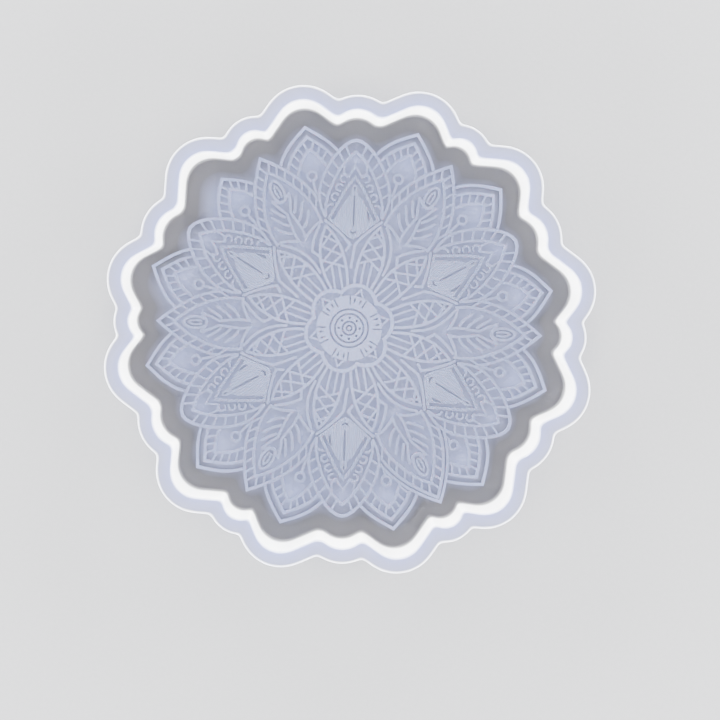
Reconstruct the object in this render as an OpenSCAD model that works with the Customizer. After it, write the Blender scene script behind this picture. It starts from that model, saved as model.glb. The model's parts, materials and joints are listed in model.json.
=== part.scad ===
// Open resin casting mould for a scalloped mandala coaster.
//
// It is one flexible silicone moulding: a flat base plate, a scalloped side
// wall with a flat rim, and a raised pattern on the floor of the cavity.
// The origin is the middle of the underside, with +Z up and millimetres.
// The pattern has six sectors, alike but for the small irregularities that
// are named below, and one sector's axis lies along +Y.

/* [Body] */
// Radius of the cavity, out to its large lobes
cavity_r = 54.5; // [45:0.5:80]
// Depth of the cavity, from the rim down to the floor
cavity_d = 8; // [5:0.5:20]
// Thickness of the side wall
wall_t = 3.5; // [2:0.5:6]
// Thickness of the floor
floor_t = 2.5; // [1.5:0.5:5]
// Height of the band at the top of the wall that carries the rim
rim_h = 1; // [0.5:0.25:3]

/* [Relief] */
// Height of the raised pattern above the floor
relief_h = 0.35; // [0.25:0.05:1]
// Width of the main lines
line_w = 0.7; // [0.55:0.05:0.85]
// Width of the fine lines
fine_w = 0.55; // [0.4:0.05:0.7]
// Gap round a motif where another one passes behind it
gap = 0.06; // [0.04:0.01:0.1]
// Number of straight steps along each curved line
steps = 8; // [6:1:12]

/* [Colours] */
// Colour of the base plate and the wall
body_colour = "lavender"; // [lavender, whitesmoke, lightsteelblue]
// Colour of the raised pattern
relief_colour = "aliceblue"; // [aliceblue, white, lavender]

/* [Hidden] */
sectors = 6;
sector_angle = 360 / sectors;
total_h = floor_t + cavity_d;

// The outline and the pattern are drawn for a cavity of this radius and
// scaled to the one that is asked for
drawn_r = 54.5;
art = cavity_r / drawn_r;

// Outline of the cavity: one large lobe round each eye petal's tip and one
// small lobe over each diamond petal and each feather leaf
core_r = 49.5;
outline_step = 1;
lobe_angle = 16.2;
lobe_r = 6.4;
lobe_y = 48.1;
lobe_lean = 4.5;
flank_angle = 44;
diamond_lobe_r = 6;
diamond_lobe_y = 45;
leaf_lobe_r = 4.2;
leaf_lobe_y = 47.3;

// The lobes are out of true in one sector, where they sit turned about the
// middle, and the eye petal under them on its right has no outer border
odd_sector = 5;
odd_turn = -3;
plain_petal = 10;
// Feather leaf that has one more border than the others
bordered_leaf = 2;

// Eye petals: where their ring and tip lie, how far they lean clockwise, and
// how far their sides sweep clockwise per millimetre below the tip
eye_angle = 16;
eye_ring_y = 38.15;
eye_tip_y = 50;
eye_lean = 5.4;
eye_sweep = 0.05;
leaf_tip_y = 46.5;

// Overlap that merges strokes which touch, and the sides of a round end
weld = 0.01;
cap_sides = 12;

// Right-hand halves of the motif outlines, each the four control points of
// a cubic curve that runs from the tip down
arch_top = [[0, 45.8], [3.2, 45.8], [8.2, 38.5], [8.6, 33]];
arch_foot = [[8.6, 33], [8.7, 31], [8.1, 29], [6.9, 27]];
arch_inner = [[0, 43], [3.4, 40.2], [5.8, 35.8], [6.9, 29.8]];
leaf_outer = [[0, leaf_tip_y], [2.9, 43.3], [7.3, 37.6], [7.9, 31.2]];
leaf_inner = [[0, 42.7], [2.9, 39.6], [7.2, 33.2], [6.1, 26]];
leaf_border = [[0, 47.7], [3.2, 44.6], [8.3, 38.4], [9, 31.2]];
eye_outer = [[0, eye_tip_y], [3.6, 47.1], [8.7, 43.8], [8.8, 36]];
eye_middle = [[0, 47.7], [3.1, 45], [6.8, 42.4], [7, 36]];
eye_inner = [[0, 44.6], [2.2, 42.8], [4.2, 39.6], [4.6, 35]];
lattice_tip = [6.6, 24.7];
lattice_outer = [lattice_tip, [8.5, 20.2], [8.5, 15.4], [4.8, 9.6]];
lattice_inner = [lattice_tip, [2.2, 20.8], [1, 15.5], [0.7, 9.6]];

// Crossed bars of the lattice and the two rays under them, in the leaf on the
// right of an axis and, mirrored, in the one on the left
right_bars = [[[5.6, 23.5], [7.9, 20.2]], [[3.6, 21.6], [7.6, 16.4]],
              [[2.3, 18.5], [6.7, 14.3]], [[3.6, 21.6], [7, 22.9]],
              [[2.1, 18.4], [7.8, 20.5]], [[1.5, 15.8], [7.7, 17.6]],
              [[3.2, 16.3], [2.1, 9.4]], [[5, 15.7], [3.6, 9]]];
left_bars = [[[5.1, 23.2], [7.3, 19.8]], [[3.5, 20.7], [7.1, 15.8]],
             [[2, 18.3], [6.6, 13.5]], [[3.2, 20.6], [7.6, 22.4]],
             [[1.8, 17.4], [7.8, 19.8]], [[1.4, 14.8], [7.2, 16.3]],
             [[3.2, 15.3], [1.9, 9.4]], [[5, 15.7], [3.7, 9]]];

// Foot of a lattice leaf, which runs on under the rosette's collar
lattice_foot = [[3.6, 8], [0.7, 8]];

bead_r = 0.85;

// Rosette, from the seed in the middle out to the scalloped collar
seed_r = 0.45;
seed_ring_r = [0.8, 1.4];
pit_ring_r = [1.85, 3.25];
pit_r = 0.3;
pits = 8;
plain_ring_r = [3.7, 4.4];
band_r = [4.85, 8];
tick_w = 0.3;
ticks = 12;
scallop_r = 4.8;
scallop_y = 5.9;
scallop_turn = 15;
collar_w = 0.9;

LATTICE_LEAVES = ["lattice_leaf_01", "lattice_leaf_02", "lattice_leaf_03",
    "lattice_leaf_04", "lattice_leaf_05", "lattice_leaf_06",
    "lattice_leaf_07", "lattice_leaf_08", "lattice_leaf_09",
    "lattice_leaf_10", "lattice_leaf_11", "lattice_leaf_12"];
EYE_PETALS = ["eye_petal_01", "eye_petal_02", "eye_petal_03",
    "eye_petal_04", "eye_petal_05", "eye_petal_06",
    "eye_petal_07", "eye_petal_08", "eye_petal_09",
    "eye_petal_10", "eye_petal_11", "eye_petal_12"];
DIAMOND_PETALS = ["diamond_petal_1", "diamond_petal_2", "diamond_petal_3",
    "diamond_petal_4", "diamond_petal_5", "diamond_petal_6"];
DIAMOND_GEMS = ["diamond_gem_1", "diamond_gem_2", "diamond_gem_3",
    "diamond_gem_4", "diamond_gem_5", "diamond_gem_6"];
FEATHER_LEAVES = ["feather_leaf_1", "feather_leaf_2", "feather_leaf_3",
    "feather_leaf_4", "feather_leaf_5", "feather_leaf_6"];

// ---- Curves and strokes ----

function bezier(c, t) =
    pow(1 - t, 3) * c[0] + 3 * pow(1 - t, 2) * t * c[1]
    + 3 * (1 - t) * pow(t, 2) * c[2] + pow(t, 3) * c[3];

function curve(c, n = steps) = [for (i = [0 : n]) bezier(c, i / n)];

function flip(path) = [for (p = path) [-p.x, p.y]];

function turned(path) = [for (i = [len(path) - 1 : -1 : 0]) path[i]];

// Both halves of an outline: up the left-hand side and down the right
function whole(right) =
    concat(turned(flip(right)), [for (i = [1 : len(right) - 1]) right[i]]);

function heading(a, b) = (b - a) / norm(b - a);

function left_of(d) = [-d.y, d.x];

// Sideways step at point i that keeps a ribbon's width round the bend
function side_step(path, i) =
    let (last = len(path) - 1,
         ahead = i < last ? heading(path[i], path[i + 1]) : [0, 0],
         behind = i > 0 ? heading(path[i - 1], path[i]) : [0, 0],
         mean = left_of(ahead + behind),
         across = left_of(i > 0 ? behind : ahead))
    mean / (mean * across);

// A line of width w along a path, with round ends
module stroke(path, w = line_w) {
    left = [for (i = [0 : len(path) - 1]) path[i] + side_step(path, i) * w / 2];
    right = [for (i = [0 : len(path) - 1]) path[i] - side_step(path, i) * w / 2];
    polygon(concat(left, turned(right)));
    for (p = [path[0], path[len(path) - 1]])
        translate(p) circle(d = w, $fn = cap_sides);
}

// The same stroke on both sides of the Y axis
module pair(path, w = line_w) {
    stroke(path, w);
    stroke(flip(path), w);
}

// A closed round line about a point
module ring_line(centre, r) {
    translate(centre)
        difference() {
            circle(r = r + line_w / 2, $fn = 24);
            circle(r = r - line_w / 2, $fn = 24);
        }
}

// Points along an arc about a point, from one angle to another
function arc(centre, r, from, to, n = 9) =
    [for (i = [0 : n])
        let (a = from + (to - from) * i / n)
        centre + r * [cos(a), sin(a)]];

// Rungs between two curves on both sides, at evenly spaced places
module ladder(outer, inner, count, outer_at, inner_at) {
    for (i = [0 : count - 1])
        pair([bezier(outer, outer_at[0] + i * outer_at[1]),
              bezier(inner, inner_at[0] + i * inner_at[1])], fine_w);
}

// ---- Outline of the cavity and the wall ----

// Direction at an angle clockwise from +Y
function toward(angle) = [sin(angle), cos(angle)];

// Distance from the middle out to the far side of a round lobe
function round_reach(u, centre, r) =
    let (across = cross(u, centre))
    abs(across) < r ? u * centre + sqrt(r * r - across * across) : 0;

// The same for a lobe that has a straight flank on each side of its round
function flanked_reach(u, centre, r, axis_angle) =
    let (normals = [for (side = [-1, 1]) toward(axis_angle + side * (90 - flank_angle))],
         rounded = round_reach(u, centre, r),
         on_round = (rounded * u - centre) * toward(axis_angle) > r * sin(flank_angle))
    on_round ? rounded : min([for (n = normals) (n * centre + r) / (n * u)]);

// Large lobe round the tip of the eye petal at this angle
function eye_reach(u, angle, grow) =
    let (centre = eye_ring_y * toward(angle)
                  + (lobe_y - eye_ring_y) * toward(angle + lobe_lean))
    flanked_reach(u, centre, lobe_r + grow, angle + lobe_lean);

// Small lobe over the feather leaf at this angle
function leaf_reach(u, angle, grow) =
    round_reach(u, leaf_lobe_y * toward(angle), leaf_lobe_r + grow);

// Farthest lobe at an angle within a sector, each lobe grown by the same
// amount, and all but the leaves' lobes turned
function sector_reach(u, grow, turn) =
    max(core_r + grow,
        eye_reach(u, turn - lobe_angle, grow),
        eye_reach(u, turn + lobe_angle, grow),
        round_reach(u, diamond_lobe_y * toward(turn), diamond_lobe_r + grow),
        leaf_reach(u, -sector_angle / 2, grow),
        leaf_reach(u, sector_angle / 2, grow));

// Outline of the cavity, moved outwards by grow
function outline(grow = 0) =
    [for (a = [0 : outline_step : 360 - outline_step])
        let (sector = round(a / sector_angle),
             turn = sector == odd_sector ? odd_turn : 0)
        sector_reach(toward(a - sector_angle * sector), grow, turn) * toward(a)];

// ---- Silhouettes, which hide what passes behind a motif ----

module filled(path) {
    offset(delta = line_w / 2 + gap) polygon(path);
}

module diamond_silhouette() {
    filled(whole(concat(curve(arch_top), curve(arch_foot, 3), [[0, 21.8]])));
}

function leaf_edge(n) = n == bordered_leaf ? leaf_border : leaf_outer;

module leaf_silhouette(n) {
    rotate(-sector_angle / 2)
        filled(whole(concat(curve(leaf_edge(n)), [[7, 26], [0, 24]])));
}

module collar_silhouette() {
    offset(delta = collar_w / 2 + gap) scallops();
}

module every_sector() {
    for (s = [0 : sectors - 1]) rotate(-sector_angle * s) children();
}

// ---- Motifs, drawn flat ----

// Raises a flat drawing into relief on the cavity's floor. The first child
// is the drawing, and the others are silhouettes that hide parts of it
module raised() {
    color(relief_colour)
        translate([0, 0, floor_t])
            linear_extrude(relief_h)
                scale([art, art])
                    offset(delta = weld)
                        difference() {
                            children(0);
                            if ($children > 1)
                                children([1 : $children - 1]);
                        }
}

// Round-topped petal round each gem, with a ladder in its arch, a pointed
// spade under its top and three beads down each side, open towards the gem
module diamond_petal_drawing() {
    stroke(whole(concat(curve(arch_top), [for (p = [1 : 3]) bezier(arch_foot, p / 3)])));
    stroke(whole(concat(curve(arch_inner), [[6.8, 27.2]])));
    ladder(arch_top, arch_inner, 6, [0.25, 0.15], [0.14, 0.15]);
    stroke(whole([[0, 39.5], [1.6, 36.9], [2.8, 37.7], [2.7, 39.8]]), fine_w);
    for (bead = [[2.7, 36.4], [3.65, 34.15], [4.7, 31.85]])
        pair(arc(bead, bead_r, -100, 150), fine_w);
    pair([[5.2, 30], [6, 29.9], [6.7, 29.2]], fine_w);
}

// Double outline of the gem
module gem_lines() {
    stroke(whole([[0, 36.8], [2, 34.1], [4, 30.3], [6, 26.5]]));
    stroke(whole(curve([[0, 22], [1, 22.1], [2.6, 24], [6, 26.5]], 4)));
}

// Flat frosted face of the gem, parted down its middle, with a slot in its
// neck and a crescent cut from its right side and from its foot
module gem_face() {
    difference() {
        polygon(whole([[0, 35.3], [0.8, 34], [0.8, 32.6], [2.1, 31.3], [3.2, 29.3],
                       [4.9, 26.2], [3.4, 24.7], [1.6, 23.1], [0, 22.1]]));
        polygon(whole([[0, 34.6], [0.2, 34.1], [0.12, 33.5]]));
        polygon(whole([[0, 32.3], [0.15, 32.2], [0.28, 28.5], [0.15, 24.9]]));
        polygon([[3.2, 29], [3.7, 28], [4, 26.7], [3.5, 25.9], [3.25, 27.4]]);
        polygon(whole([[0, 23.45], [0.45, 23.55], [0.9, 23.95], [0.6, 23.2], [0, 22.85]]));
    }
}

// Pointed leaf with a ladder in its border and a feather inside it
module feather_leaf_drawing(n) {
    if (n == bordered_leaf)
        stroke(whole(curve(leaf_border)));
    stroke(whole(curve(leaf_outer)));
    stroke(whole(curve(leaf_inner)));
    ladder(leaf_outer, leaf_inner, 7, [0.15, 0.135], [0.03, 0.135]);
    feather();
}

module feather() {
    pair([[6, 26.1], [5, 26.1], [3.4, 25.65], [1.8, 24.9], [0.85, 24.4], [1.1, 26.2],
          [0.95, 28], [0.5, 31.6]]);
    cup();
    bud();
    barb([1.3, 31.2], [2.2, 32.3], [3.4, 34.4]);
    barb([1.4, 28.9], [2.6, 30], [4.1, 32.4]);
    barb([1.7, 26.9], [3.1, 27.8], [4.6, 29.9]);
}

module barb(root, bend, tip) {
    pair(curve([root, bend, bend, tip], 4));
}

module cup() {
    pair([[0.5, 31.6], [1.4, 33.4], [2.3, 35.9]]);
    stroke(whole([[0, 34.7], [0.9, 34.9], [1.6, 35.6], [2.3, 35.9]]));
}

module bud() {
    stroke(whole(curve([[0, 40.3], [1.1, 40.2], [2.1, 37.6], [0.9, 35.2]], 6)));
    stroke(whole(curve([[0, 39], [0.4, 38.8], [0.8, 37.4], [0.35, 36]], 3)), fine_w);
}

// Pointed petal with a double border, a ladder and a ring on a short stem
module eye_petal_drawing(n) {
    translate([0, eye_ring_y])
        rotate(-eye_lean)
            multmatrix([[1, -eye_sweep, 0, eye_sweep * (eye_tip_y - eye_ring_y)],
                        [0, 1, 0, 0],
                        [0, 0, 1, 0]])
                translate([0, -eye_ring_y]) {
                    if (n != plain_petal)
                        stroke(whole(curve(eye_outer)));
                    stroke(whole(curve(eye_middle)));
                    stroke(whole(curve(eye_inner)));
                    ladder(eye_middle, eye_inner, 5, [0.14, 0.155], [0.07, 0.175]);
                }
    ring_line([0, eye_ring_y], 1.1);
    stroke([[0, 36.9], [0, 33.6]]);
    polygon([[-1.2, 34.2], [1.2, 34], [0.1, 30.4]]);
}

// Leaf with a crossed lattice in its upper half and rays in its foot
module lattice_leaf_lines(bars) {
    stroke(curve(lattice_outer));
    stroke(curve(lattice_inner));
    intersection() {
        polygon(concat(curve(lattice_outer), lattice_foot, turned(curve(lattice_inner))));
        for (bar = bars)
            stroke(bar, fine_w);
    }
}

// Line outside the leaf on the right of an axis: it runs on down both sides
module long_border() {
    stroke(curve([[7.7, 13.2], [9.9, 17], [10, 20.6], [8.25, 24.7]], 5));
    stroke(concat(border_over_gem(), [[0.2, 17.6], [-0.2, 14.8]]));
}

// Line outside the leaf on the left: it ends each side in a hook
module hooked_border() {
    stroke(concat([[8, 17.3]],
                  curve([[9.8, 18.4], [9.8, 20.6], [9.1, 22.7], [8.25, 24.7]], 4)));
    stroke(concat(border_over_gem(), [[1.5, 18.9]]));
}

function border_over_gem() = curve([[6.9, 26], [4.4, 24.3], [2.4, 22.6], [0.6, 20.4]], 4);

// Sector's leaf on the right of its axis, and the one on the left
module lattice_leaf_drawing(right) {
    if (right) {
        lattice_leaf_lines(right_bars);
        long_border();
    } else {
        mirror([1, 0]) lattice_leaf_lines(left_bars);
        mirror([1, 0]) hooked_border();
    }
}

module scallops() {
    every_sector()
        rotate(-scallop_turn)
            translate([0, scallop_y]) circle(r = scallop_r, $fn = 48);
}

// Scalloped line round the band, with a small open tooth under each scallop
module collar_drawing() {
    difference() {
        union() {
            difference() {
                offset(delta = collar_w / 2) scallops();
                offset(delta = -collar_w / 2) scallops();
            }
            every_sector()
                rotate(-scallop_turn)
                    stroke([[-1, band_r[1]], [0, 9.7], [1, band_r[1]]], 0.5);
        }
        circle(r = band_r[1] + gap, $fn = 72);
    }
}

// Broad flat band, parted by radial ticks, with two drops in every second part
module band_drawing() {
    difference() {
        ring_face(band_r, 72);
        for (i = [0 : ticks - 1])
            rotate(-i * 360 / ticks)
                translate([-tick_w / 2, band_r[0] + 0.9]) square([tick_w, 2.3]);
        every_sector()
            for (side = [-1, 1])
                rotate(-scallop_turn + 6 * side)
                    polygon([[-0.25, 7.1], [0, 7.5], [0.25, 7.1], [0, 6]]);
    }
}

module ring_face(radii, sides = 48) {
    difference() {
        circle(r = radii[1], $fn = sides);
        circle(r = radii[0], $fn = sides);
    }
}

// ---- Sub-parts ----

module base_plate() {
    color(body_colour) linear_extrude(floor_t) polygon(art * outline(wall_t / art));
}

// Ring between the cavity and the outside of the wall
module wall_ring(bottom, height) {
    color(body_colour)
        translate([0, 0, bottom])
            difference() {
                linear_extrude(height) polygon(art * outline(wall_t / art));
                translate([0, 0, -1]) linear_extrude(height + 2) polygon(art * outline());
            }
}

module side_wall() {
    wall_ring(floor_t, cavity_d - rim_h);
}

module rim_land() {
    wall_ring(total_h - rim_h, rim_h);
}

module rosette_seed() {
    raised()
        union() {
            circle(r = seed_r, $fn = 24);
            ring_face(seed_ring_r);
        }
}

module rosette_rings() {
    raised()
        union() {
            ring_face(plain_ring_r);
            difference() {
                ring_face(pit_ring_r);
                for (i = [0 : pits - 1])
                    rotate(i * 360 / pits)
                        translate([0, (pit_ring_r[0] + pit_ring_r[1]) / 2])
                            circle(r = pit_r, $fn = 16);
            }
        }
}

module rosette_band() {
    raised() band_drawing();
}

module rosette_collar() {
    raised() collar_drawing();
}

// Motifs are numbered clockwise from +Y. Where a sector has two, the odd one
// is right of its axis and the even one is left of it
module lattice_leaf(n) {
    rotate(-sector_angle * floor(n / 2))
        raised() {
            lattice_leaf_drawing(n % 2 == 0);
            collar_silhouette();
        }
}

module diamond_petal(n) {
    rotate(-sector_angle * n) raised() diamond_petal_drawing();
}

module diamond_gem(n) {
    rotate(-sector_angle * n)
        raised()
            union() {
                gem_lines();
                gem_face();
            }
}

module feather_leaf(n) {
    rotate(-sector_angle * (n + 0.5))
        raised() {
            feather_leaf_drawing(n);
            for (side = [-1, 1])
                rotate(side * sector_angle / 2) diamond_silhouette();
        }
}

module eye_petal(n) {
    sector = floor(n / 2);
    right = n % 2 == 0;
    rotate(-sector_angle * sector)
        raised() {
            rotate(right ? -eye_angle : eye_angle) eye_petal_drawing(n);
            diamond_silhouette();
            rotate(right ? 0 : sector_angle)
                leaf_silhouette(right ? sector : sector - 1);
        }
}

base_plate();
side_wall();
rim_land();
rosette_seed();
rosette_rings();
rosette_band();
rosette_collar();
for (n = [0 : len(LATTICE_LEAVES) - 1])
    lattice_leaf(n);
for (n = [0 : len(DIAMOND_PETALS) - 1])
    diamond_petal(n);
for (n = [0 : len(DIAMOND_GEMS) - 1])
    diamond_gem(n);
for (n = [0 : len(FEATHER_LEAVES) - 1])
    feather_leaf(n);
for (n = [0 : len(EYE_PETALS) - 1])
    eye_petal(n);
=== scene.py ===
"""Looks of the open silicone coaster mould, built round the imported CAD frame."""

import json
import math

import bmesh
import bpy
import numpy as np
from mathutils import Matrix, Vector

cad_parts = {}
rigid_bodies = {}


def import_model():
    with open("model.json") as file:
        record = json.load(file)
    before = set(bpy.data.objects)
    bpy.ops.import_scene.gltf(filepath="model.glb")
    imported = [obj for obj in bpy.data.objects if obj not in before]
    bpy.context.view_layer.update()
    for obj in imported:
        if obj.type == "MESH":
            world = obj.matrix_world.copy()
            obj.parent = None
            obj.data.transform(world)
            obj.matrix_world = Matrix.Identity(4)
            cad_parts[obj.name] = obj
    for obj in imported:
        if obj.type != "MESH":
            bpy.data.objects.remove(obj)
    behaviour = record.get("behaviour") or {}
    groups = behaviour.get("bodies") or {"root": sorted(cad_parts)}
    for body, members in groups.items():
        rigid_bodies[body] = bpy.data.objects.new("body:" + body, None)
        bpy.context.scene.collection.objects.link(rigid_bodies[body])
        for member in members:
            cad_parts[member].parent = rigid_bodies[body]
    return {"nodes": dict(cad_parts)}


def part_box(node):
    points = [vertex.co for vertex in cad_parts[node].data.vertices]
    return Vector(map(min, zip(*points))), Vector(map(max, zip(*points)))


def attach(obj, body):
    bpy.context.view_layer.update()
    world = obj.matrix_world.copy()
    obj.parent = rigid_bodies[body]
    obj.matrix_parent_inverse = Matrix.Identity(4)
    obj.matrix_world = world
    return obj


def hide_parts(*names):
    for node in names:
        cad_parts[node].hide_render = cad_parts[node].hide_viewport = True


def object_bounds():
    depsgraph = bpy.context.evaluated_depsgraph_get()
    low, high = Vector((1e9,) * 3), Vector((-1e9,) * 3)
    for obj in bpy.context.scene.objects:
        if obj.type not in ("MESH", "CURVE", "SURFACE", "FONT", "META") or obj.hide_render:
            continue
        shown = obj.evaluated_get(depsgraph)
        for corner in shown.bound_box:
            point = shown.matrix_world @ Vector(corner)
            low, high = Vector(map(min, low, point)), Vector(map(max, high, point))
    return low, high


for left_over in list(bpy.data.objects):
    bpy.data.objects.remove(left_over)
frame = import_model()
cad_low, cad_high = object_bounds()

MM = 0.001
SKIN_NODES = ("base_plate", "side_wall", "rim_land")
FLOOR_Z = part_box("base_plate")[1].z
RIM_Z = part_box("rim_land")[1].z


# ---- Outline of the wall, read from the CAD wall ----

RING_POINTS = 1440
CORNER_ROUNDING = 0.55  # degrees, about half a millimetre along the wall
FOOT_REACH = 0.1 * MM  # corners this near the floor's height belong to the wall's foot


def wall_radii():
    """Radius of the cavity's side and of the wall's outside, at even angles clockwise from +Y."""
    corners = np.array([v.co for v in frame["nodes"]["side_wall"].data.vertices])
    foot = corners[corners[:, 2] < FLOOR_Z + FOOT_REACH]
    angle = np.degrees(np.arctan2(foot[:, 0], foot[:, 1])).round(2) % 360
    radius = np.hypot(foot[:, 0], foot[:, 1])
    at = np.unique(angle)
    inner = np.array([radius[angle == a].min() for a in at])
    outer = np.array([radius[angle == a].max() for a in at])
    fine = np.arange(RING_POINTS) * 360 / RING_POINTS
    return [rounded(np.interp(fine, at, line, period=360)) for line in (inner, outer)]


def rounded(line):
    """The line with its corners eased, by a weighted mean over neighbouring points."""
    sigma = CORNER_ROUNDING * RING_POINTS / 360
    reach = int(3 * sigma) + 1
    offsets = np.arange(-reach, reach + 1)
    weights = np.exp(-0.5 * (offsets / sigma) ** 2)
    weights /= weights.sum()
    return sum(w * np.roll(line, k) for w, k in zip(weights, offsets))


INNER, OUTER = wall_radii()
ANGLES = np.radians(np.arange(RING_POINTS) * 360 / RING_POINTS)
WALL = (cad_high.x - cad_low.x) / 2 - float(np.abs(INNER * np.sin(ANGLES)).max())


# ---- Section of the wall, with the tone of each point ----

FOOT_FILLET = 0.45 * MM
LIP_ROUND = 0.35 * MM
BASE_ROUND = 0.35 * MM
RIM_DIP = 0.05 * MM  # how far the rim lies lower beside its lips than in the middle

ARC_STEPS = 6
BASE_ARC_STEPS = 5
FADE_STEPS = 5
SIDE_STEPS = 8
RIM_STEPS = 10

PAINTED_LIGHT_FROM = 2.2 * MM  # height above the floor from which the cavity's side is painted white, as painted light glowing through the silicone
PAINTED_HIGHLIGHT_FADE = 1.2 * MM  # depth below the outer lip over which its painted highlight fades

# A tone is a place on the ramp that colours the skin. These have a colour of their own
TONE_MIDDLE = 0.0
# the floor's edge by the wall: painted shade, dark grey where the wall's foot shades it
TONE_FLOOR_PAINTED_SHADE = 0.3
# the cavity's side: painted light, near white as if lit through the translucent wall
TONE_WALL_PAINTED_LIGHT = 0.5
TONE_RIM = 0.7
TONE_RIM_OUT = 0.78
# the outer lip: a painted highlight, pale where the rim's edge glows
TONE_EDGE_PAINTED_HIGHLIGHT = 0.85
TONE_OUTSIDE = 1.0
# These lie between two of those
# the foot's fillet, between the floor's painted shade and the side's painted light
TONE_FOOT = 0.315
TONE_LIP = 0.6


def arc(centre, radius, start, end, steps):
    """Points of an arc in the section's plane, from one angle to another in degrees."""
    turns = np.radians(np.linspace(start, end, steps + 1))
    return [(centre[0] + radius * math.cos(t), centre[1] + radius * math.sin(t)) for t in turns]


def straight(a, b, steps):
    """Points between a and b, without either end."""
    return [tuple(np.add(a, np.multiply(np.subtract(b, a), k / steps))) for k in range(1, steps)]


def dipped(points):
    """Points across the rim, lowered beside the lips and not in the middle."""
    width = WALL - 2 * LIP_ROUND
    return [(x, z + RIM_DIP * math.sin(math.pi * (x - LIP_ROUND) / width) ** 2 - RIM_DIP) for x, z in points]


def toned(points, start, end):
    """The points, none above the rim's height, with tones that run evenly from start to end."""
    last = max(1, len(points) - 1)
    return [(x, min(z, RIM_Z), start + (end - start) * k / last) for k, (x, z) in enumerate(points)]


def wall_section():
    """The section's points from the floor up over the rim and down to the base, each with its tone.

    The first number is how far the point lies outwards from the cavity's side, and the second is its height.
    """
    foot = arc((-FOOT_FILLET, FLOOR_Z + FOOT_FILLET), FOOT_FILLET, -90, 0, ARC_STEPS)
    inner_lip = arc((LIP_ROUND, RIM_Z - LIP_ROUND), LIP_ROUND, 180, 90, ARC_STEPS)
    outer_lip = arc((WALL - LIP_ROUND, RIM_Z - LIP_ROUND), LIP_ROUND, 90, 0, ARC_STEPS)
    base = arc((WALL - BASE_ROUND, BASE_ROUND), BASE_ROUND, 0, -90, BASE_ARC_STEPS)
    rim = dipped(straight(inner_lip[-1], outer_lip[0], RIM_STEPS))
    # from this height up, the cavity's side carries its painted light
    painted_light_from = (0.0, FLOOR_Z + PAINTED_LIGHT_FROM)
    # below the outer lip its painted highlight fades into the outside's colour
    faded = (WALL, RIM_Z - LIP_ROUND - PAINTED_HIGHLIGHT_FADE)
    return (toned(foot, TONE_FLOOR_PAINTED_SHADE, TONE_FOOT)
            + toned(straight(foot[-1], painted_light_from, FADE_STEPS), TONE_FOOT, TONE_WALL_PAINTED_LIGHT)
            + toned(straight(painted_light_from, inner_lip[0], SIDE_STEPS), TONE_WALL_PAINTED_LIGHT, TONE_WALL_PAINTED_LIGHT)
            + toned(inner_lip, TONE_LIP, TONE_RIM)
            + toned(rim, TONE_RIM, TONE_RIM_OUT)
            + toned(outer_lip, TONE_EDGE_PAINTED_HIGHLIGHT, TONE_EDGE_PAINTED_HIGHLIGHT)
            + toned(straight(outer_lip[-1], faded, FADE_STEPS), TONE_EDGE_PAINTED_HIGHLIGHT, TONE_OUTSIDE)
            + toned(straight(faded, base[0], SIDE_STEPS), TONE_OUTSIDE, TONE_OUTSIDE)
            + toned(base, TONE_OUTSIDE, TONE_OUTSIDE))


# ---- Skin of the mould, one closed surface ----

STRAY = 0.07 * MM  # about how far the soft wall strays from its true line at the rim
STRAY_WAVES = ((2, 0.4), (3, 2.1), (5, 4.0), (9, 1.2))  # waves round the wall, and their phases in radians

# Rings that fill a flat face: their size against its edge, and how many points they have
DISC_RINGS = ((0.985, 720), (0.965, 720), (0.94, 720), (0.91, 720), (0.88, 720), (0.85, 720), (0.82, 360),
              (0.7, 360), (0.55, 360), (0.4, 360), (0.27, 180), (0.15, 90), (0.06, 45))
DISC_FADE = (0.82, 0.94)  # ring sizes between which the middle's tone turns into the edge's, which on the cavity's floor is painted shade by the wall


def stray(height):
    """How far the wall strays from its true line at each point of the ring, more towards the free rim."""
    share = max(0.0, (height - FLOOR_Z) / (RIM_Z - FLOOR_Z))
    waves = sum(np.sin(n * ANGLES + phase) / n for n, phase in STRAY_WAVES)
    return STRAY * share ** 2 * waves


def ring_at(outwards, height, count=RING_POINTS, shrink=1.0):
    """A ring of points at this distance outwards from the cavity's side."""
    radius = INNER + (OUTER - INNER) * outwards / WALL + stray(height)
    every = RING_POINTS // count
    r = radius[::every] * shrink
    a = ANGLES[::every]
    return np.stack([r * np.sin(a), r * np.cos(a), np.full(count, height)], 1)


def even_band(old, new):
    """Quads between two rings of the same count."""
    n = len(old)
    return [(old[i], old[(i + 1) % n], new[(i + 1) % n], new[i]) for i in range(n)]


def halving_band(old, new):
    """Triangles between a ring and one with half as many points."""
    faces = []
    for i, here in enumerate(new):
        beyond = new[(i + 1) % len(new)]
        a = old[2 * i]
        b = old[2 * i + 1]
        c = old[(2 * i + 2) % len(old)]
        faces += [(a, b, here), (b, beyond, here), (b, c, beyond)]
    return faces


class SkinMesh:
    """Rings of vertices joined one after another, with the tone of each vertex."""

    def __init__(self):
        self.points = []
        self.tones = []
        self.faces = []
        self.last = None

    def add_ring(self, points, tone):
        """Adds a ring, joins it to the last one and returns its vertices' numbers."""
        start = len(self.points)
        self.points.extend(map(tuple, points))
        self.tones.extend([tone] * len(points))
        ring = list(range(start, start + len(points)))
        if self.last:
            join = even_band if len(ring) == len(self.last) else halving_band
            self.faces += join(self.last, ring)
        self.last = ring
        return ring

    def fill(self, edge, outwards, height, middle_tone, edge_tone):
        """Closes the surface inside an edge ring with a flat face."""
        self.last = edge
        for size, count in DISC_RINGS:
            tone = np.interp(size, DISC_FADE, (middle_tone, edge_tone))
            self.add_ring(ring_at(outwards, height, count, size), tone)
        middle = len(self.points)
        self.points.append((0.0, 0.0, height))
        self.tones.append(middle_tone)
        ring = self.last
        self.faces += [(ring[i], ring[(i + 1) % len(ring)], middle) for i in range(len(ring))]


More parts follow.
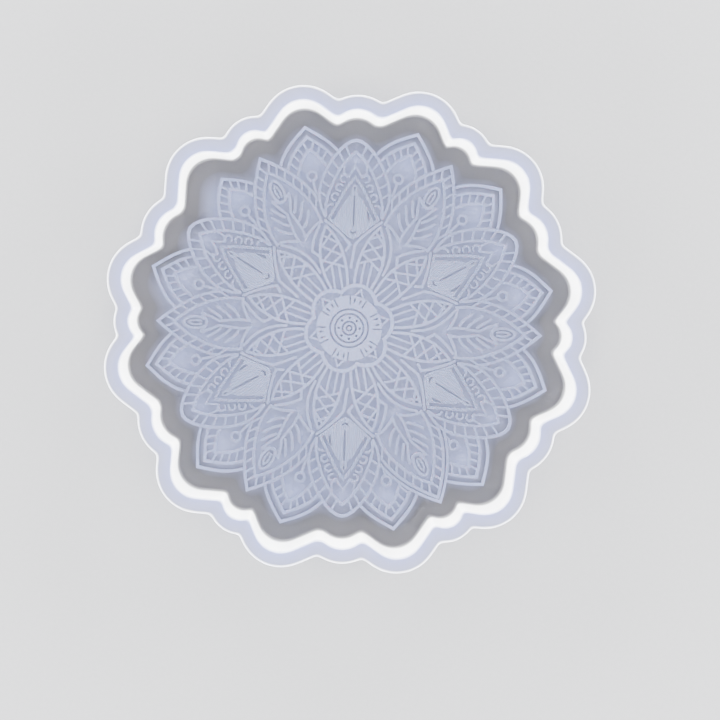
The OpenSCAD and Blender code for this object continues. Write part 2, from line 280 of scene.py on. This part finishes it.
def skin_object():
    """The whole moulding but for its relief: floor, wall, rim and base in one skin."""
    skin = SkinMesh()
    section = wall_section()
    rings = [skin.add_ring(ring_at(outwards, height), tone) for outwards, height, tone in section]
    skin.fill(rings[-1], section[-1][0], 0.0, TONE_OUTSIDE, TONE_OUTSIDE)
    # the cavity's floor, darkened by painted shade towards the wall
    skin.fill(rings[0], section[0][0], FLOOR_Z, TONE_MIDDLE, TONE_FLOOR_PAINTED_SHADE)
    mesh = bpy.data.meshes.new("mould_skin")
    mesh.from_pydata(skin.points, [], skin.faces)
    tones = mesh.attributes.new("tone", "FLOAT", "POINT")
    tones.data.foreach_set("value", np.array(skin.tones, np.float32))
    made = bpy.data.objects.new("mould_skin", mesh)
    bpy.context.scene.collection.objects.link(made)
    tidy_faces(mesh)
    return made


def tidy_faces(mesh):
    """Turns every face outwards and shades it smooth."""
    bm = bmesh.new()
    bm.from_mesh(mesh)
    bmesh.ops.recalc_face_normals(bm, faces=bm.faces)
    bm.to_mesh(mesh)
    bm.free()
    mesh.polygons.foreach_set("use_smooth", [True] * len(mesh.polygons))


# ---- Materials ----

def srgb(red, green, blue):
    """Linear colour from 0 to 255 display values."""
    def linear(c):
        c /= 255
        return c / 12.92 if c <= 0.04045 else ((c + 0.055) / 1.055) ** 2.4
    return (linear(red), linear(green), linear(blue), 1.0)


SILICONE_IOR = 1.41
SKIN_SUBSURFACE = 1.0
SKIN_DEPTH = 0.8 * MM  # how far light goes into the skin
SKIN_DEPTH_RATIOS = (1.0, 1.0, 1.1)  # that depth's share for red, green and blue
RELIEF_SUBSURFACE = 0.15
RELIEF_DEPTH = 0.3 * MM

# Colours of the skin along the tone ramp, in the ramp's order
# the dark grey of the floor's edge is painted shade by the wall's foot
SKIN_COLOURS = ((TONE_MIDDLE, srgb(127, 134, 166)), (TONE_FLOOR_PAINTED_SHADE, srgb(67, 66, 72)),
                # near white here is painted light on the cavity's side
                (TONE_WALL_PAINTED_LIGHT, srgb(251, 252, 254)), (TONE_RIM, srgb(131, 137, 173)),
                # the pale outer lip is a painted highlight
                (TONE_RIM_OUT, srgb(129, 132, 155)), (TONE_EDGE_PAINTED_HIGHLIGHT, srgb(205, 207, 214)),
                (TONE_OUTSIDE, srgb(112, 116, 133)))

# Pairs of colours that a noise or the gems' lines mix. The first two pairs multiply the skin's colour
CLOUD_TINTS = ((0.94, 0.96, 1.0, 1), (1.0, 0.98, 0.96, 1))
GRAIN_TINTS = ((0.96, 0.96, 0.96, 1), (1.0, 1.0, 1.0, 1))
RELIEF_TINTS = (srgb(106, 113, 143), srgb(110, 116, 145))
GEM_TINTS = (srgb(102, 109, 138), srgb(110, 117, 145))
PAPER_TINTS = ((0.29, 0.29, 0.295, 1), (0.31, 0.31, 0.315, 1))
FROST_COLOUR = srgb(130, 136, 160)
FROST_SHARE = 0.1  # how much of that colour the frost's specks take

# Noise patterns: scale per metre, octaves and roughness
SKIN_CLOUDS = (45.0, 4.0, 0.55)
SKIN_GRAIN = (2600.0, 2.0, 0.6)
SKIN_GLOSS = (130.0, 5.0, 0.6)
SKIN_PEEL = (420.0, 3.0, 0.5)
RELIEF_CLOUDS = (60.0, 4.0, 0.55)
FROST = (3200.0, 3.0, 0.7)
PAPER_FIBRES = (900.0, 4.0, 0.6)

# Values between which most of a noise lies, and a narrower pair that makes sharper specks
NOISE_SPAN = (0.3, 0.7)
SPECK_SPAN = (0.35, 0.65)

# Bumps: strength, and height in metres
PEEL_BUMP = (0.12, 0.4 * MM)
GRAIN_BUMP = (0.08, 0.2 * MM)
RELIEF_BUMP = (0.25, 0.1 * MM)
GEM_BUMP = (0.2, 0.1 * MM)
GROOVE_BUMP = (0.3, 0.1 * MM)
PAPER_BUMP = (0.1, 0.3 * MM)

# Lowest and highest roughness
SKIN_ROUGHNESS = (0.34, 0.5)
RELIEF_ROUGHNESS = (0.58, 0.76)
GEM_ROUGHNESS = (0.55, 0.72)
PAPER_ROUGHNESS = (0.75, 0.9)

GEM_LINES = 320.0  # how many of the gems' fine lines a full turn round the pattern would hold


class Shader:
    """A new material's node tree, with short calls that add and join nodes."""

    def __init__(self, name):
        self.material = bpy.data.materials.new(name)
        self.material.use_nodes = True
        self.tree = self.material.node_tree
        self.bsdf = next(n for n in self.tree.nodes if n.type == "BSDF_PRINCIPLED")
        self.place = self.tree.nodes.new("ShaderNodeTexCoord").outputs["Object"]

    def put(self, target, value):
        """Links a socket to the target, or sets the target's own value."""
        if isinstance(value, bpy.types.NodeSocket):
            self.tree.links.new(value, target)
        else:
            target.default_value = value

    def surface(self, **values):
        """Puts values on the shader's sockets, named as the sockets are but in lower case."""
        for key, value in values.items():
            socket = key.replace("_", " ").title().replace("Ior", "IOR")
            self.put(self.bsdf.inputs[socket], value)

    def node(self, kind, output, inputs, **settings):
        """Adds a node and returns one of its outputs."""
        made = self.tree.nodes.new(kind)
        for key, value in settings.items():
            setattr(made, key, value)
        for key, value in inputs.items():
            self.put(made.inputs[key], value)
        return made.outputs[output]

    def noise(self, scale, detail, rough):
        """Noise over the object's own place."""
        return self.node("ShaderNodeTexNoise", "Fac",
                         {"Vector": self.place, "Scale": scale, "Detail": detail, "Roughness": rough})

    def math(self, operation, a, b=0.0):
        """What the operation makes of one or two values."""
        return self.node("ShaderNodeMath", 0, {0: a, 1: b}, operation=operation)

    def spread(self, value, span, to=(0.0, 1.0)):
        """The value with one span of it stretched over another."""
        return self.node("ShaderNodeMapRange", "Result",
                         {"Value": value, "From Min": span[0], "From Max": span[1],
                          "To Min": to[0], "To Max": to[1]})

    def mix(self, factor, a, b, blend="MIX"):
        """A mix of two colours."""
        made = self.tree.nodes.new("ShaderNodeMix")
        made.data_type = "RGBA"
        made.blend_type = blend
        self.put(made.inputs[0], factor)
        self.put(made.inputs[6], a)
        self.put(made.inputs[7], b)
        return made.outputs[2]

    def ramp(self, value, stops):
        """A colour that follows the value over stops of place and colour."""
        made = self.tree.nodes.new("ShaderNodeValToRGB")
        self.put(made.inputs[0], value)
        elements = made.color_ramp.elements
        for place, _ in stops[2:]:
            elements.new(place)
        for element, (place, colour) in zip(elements, stops):
            element.position = place
            element.color = colour
        return made.outputs[0]

    def bump(self, height, strength, distance, under=None):
        """A bumped surface, over another if one is given."""
        inputs = {"Height": height, "Strength": strength, "Distance": distance}
        if under is not None:
            inputs["Normal"] = under
        return self.node("ShaderNodeBump", "Normal", inputs)


def silicone_skin():
    """Milky silicone: cool grey floor with painted shade along the wall's foot, cavity side painted nearly
    white as painted light, lavender rim with a painted highlight on its outer lip, with faint clouding.
    """
    s = Shader("silicone_skin")
    tone = s.node("ShaderNodeAttribute", "Fac", {}, attribute_name="tone")
    clouds = s.spread(s.noise(*SKIN_CLOUDS), NOISE_SPAN)
    grain = s.noise(*SKIN_GRAIN)
    colour = s.mix(1.0, s.ramp(tone, SKIN_COLOURS), s.mix(clouds, *CLOUD_TINTS), "MULTIPLY")
    colour = s.mix(1.0, colour, s.mix(grain, *GRAIN_TINTS), "MULTIPLY")
    peel = s.bump(s.noise(*SKIN_PEEL), *PEEL_BUMP)
    s.surface(ior=SILICONE_IOR, subsurface_weight=SKIN_SUBSURFACE, subsurface_scale=SKIN_DEPTH,
              subsurface_radius=SKIN_DEPTH_RATIOS, base_color=colour,
              roughness=s.spread(s.noise(*SKIN_GLOSS), NOISE_SPAN, SKIN_ROUGHNESS),
              normal=s.bump(grain, *GRAIN_BUMP, peel))
    return s.material


def add_frost(s, tint, roughness, bump, under=None):
    """Frosts a tinted silicone: paler specks, a dull surface and a fine grain."""
    frost = s.noise(*FROST)
    specks = s.spread(frost, SPECK_SPAN, (0.0, FROST_SHARE))
    s.surface(ior=SILICONE_IOR, subsurface_weight=RELIEF_SUBSURFACE, subsurface_scale=RELIEF_DEPTH,
              base_color=s.mix(specks, tint, FROST_COLOUR),
              roughness=s.spread(frost, NOISE_SPAN, roughness),
              normal=s.bump(frost, *bump, under))


def frosted_relief():
    """Frosted silicone of the raised pattern, paler and duller than the floor round it."""
    s = Shader("frosted_relief")
    clouds = s.spread(s.noise(*RELIEF_CLOUDS), NOISE_SPAN)
    add_frost(s, s.mix(clouds, *RELIEF_TINTS), RELIEF_ROUGHNESS, RELIEF_BUMP)
    return s.material


def striated_gem():
    """Frosted silicone with fine lines that run out from the middle of the pattern."""
    s = Shader("striated_gem")
    x = s.node("ShaderNodeSeparateXYZ", 0, {0: s.place})
    y = x.node.outputs[1]
    lines = s.math("SINE", s.math("MULTIPLY", s.math("ARCTAN2", x, y), GEM_LINES))
    tint = s.mix(s.spread(lines, (-1.0, 1.0)), *GEM_TINTS)
    add_frost(s, tint, GEM_ROUGHNESS, GEM_BUMP, s.bump(lines, *GROOVE_BUMP))
    return s.material


def studio_paper():
    """Pale matt paper."""
    s = Shader("studio_floor")
    fibres = s.noise(*PAPER_FIBRES)
    s.surface(base_color=s.mix(s.spread(fibres, NOISE_SPAN), *PAPER_TINTS),
              roughness=s.spread(fibres, NOISE_SPAN, PAPER_ROUGHNESS),
              normal=s.bump(fibres, *PAPER_BUMP))
    return s.material


# ---- Pieces ----

def add_skin():
    """Puts the skin in place of the three CAD nodes that it covers."""
    skin = skin_object()
    skin.data.materials.append(silicone_skin())
    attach(skin, "root")
    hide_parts(*SKIN_NODES)


def dress_relief():
    """Gives each relief node its material."""
    plain = frosted_relief()
    gem = striated_gem()
    for name, node in sorted(frame["nodes"].items()):
        if name not in SKIN_NODES:
            node.data.materials.clear()
            node.data.materials.append(gem if name.startswith("diamond_gem") else plain)


# ---- Studio ----

# Lengths are in metres, powers in watts and the beam in degrees
PAPER_HALF = 4.0  # half the paper's width
PAPER_DROP = 0.05 * MM  # how far the paper lies under the mould

OVERHEAD_HEIGHT = 0.9
OVERHEAD_SIZE = (0.9, 0.9)
OVERHEAD_POWER = 6.0

LOW_LIGHTS = 8
LOW_DISTANCE = 0.6
LOW_HEIGHT = 0.1
LOW_SIZE = (0.4, 0.1)
LOW_POWER = 1.5
LOW_SPREAD = 50.0

SKY_COLOUR = (0.93, 0.95, 1.0, 1)
SKY_STRENGTH = 2.0


def add_floor():
    """A square sheet of paper under the mould."""
    corners = [(x * PAPER_HALF, y * PAPER_HALF, 0) for x, y in ((-1, -1), (1, -1), (1, 1), (-1, 1))]
    mesh = bpy.data.meshes.new("studio_floor")
    mesh.from_pydata(corners, [], [(0, 1, 2, 3)])
    mesh.materials.append(studio_paper())
    floor = bpy.data.objects.new("studio_floor", mesh)
    floor.location.z = -PAPER_DROP
    bpy.context.scene.collection.objects.link(floor)


def area_light(name, place, size, power, spread=180.0):
    """A rectangular light aimed at the origin, whose beam opens by spread degrees."""
    data = bpy.data.lights.new(name, "AREA")
    data.shape = "RECTANGLE"
    data.size, data.size_y = size
    data.energy = power
    data.spread = math.radians(spread)
    light = bpy.data.objects.new(name, data)
    light.location = place
    light.rotation_mode = "QUATERNION"
    light.rotation_quaternion = (-Vector(place)).to_track_quat("-Z", "Y")
    bpy.context.scene.collection.objects.link(light)


def add_lights():
    """Soft light from above and from the sky, and from low down all round to whiten the cavity's side."""
    area_light("overhead", (0.0, 0.0, OVERHEAD_HEIGHT), OVERHEAD_SIZE, OVERHEAD_POWER)
    for k in range(LOW_LIGHTS):
        turn = 2 * math.pi * (k + 0.5) / LOW_LIGHTS
        place = (LOW_DISTANCE * math.sin(turn), LOW_DISTANCE * math.cos(turn), LOW_HEIGHT)
        area_light(f"low_{k}", place, LOW_SIZE, LOW_POWER, LOW_SPREAD)
    world = bpy.data.worlds.new("studio")
    world.use_nodes = True
    sky = world.node_tree.nodes["Background"]
    sky.inputs[0].default_value = SKY_COLOUR
    sky.inputs[1].default_value = SKY_STRENGTH
    bpy.context.scene.world = world


# ---- Camera ----

CAMERA_HEIGHT = 165.6 * MM  # above the floor of the cavity
FRAME_WIDTH = 175.5 * MM  # what the frame spans on that floor
SENSOR_WIDTH = 36.0  # millimetres, as the camera's lens is
ROLL = 2.3  # degrees that the mould appears turned clockwise
AIM = (-4.5 * MM, 5.7 * MM)  # where the camera's axis meets the floor, from the middle of the pattern
SHIFT = (0.0394, -0.0777)  # how far the frame is shifted over that point, as shares of its width
CLIP = (0.01, 10.0)  # nearest and farthest distance seen, in metres


def add_camera():
    """Looks straight down from a little to one side, with the frame shifted back over the mould."""
    data = bpy.data.cameras.new("camera")
    data.sensor_width = SENSOR_WIDTH
    data.lens = SENSOR_WIDTH * CAMERA_HEIGHT / FRAME_WIDTH
    data.shift_x, data.shift_y = SHIFT
    data.clip_start, data.clip_end = CLIP
    camera = bpy.data.objects.new("camera", data)
    camera.location = (AIM[0], AIM[1], FLOOR_Z + CAMERA_HEIGHT)
    camera.rotation_euler = (0, 0, math.radians(ROLL))
    bpy.context.scene.collection.objects.link(camera)
    bpy.context.scene.camera = camera


add_camera()
add_lights()
add_floor()
add_skin()
dress_relief()
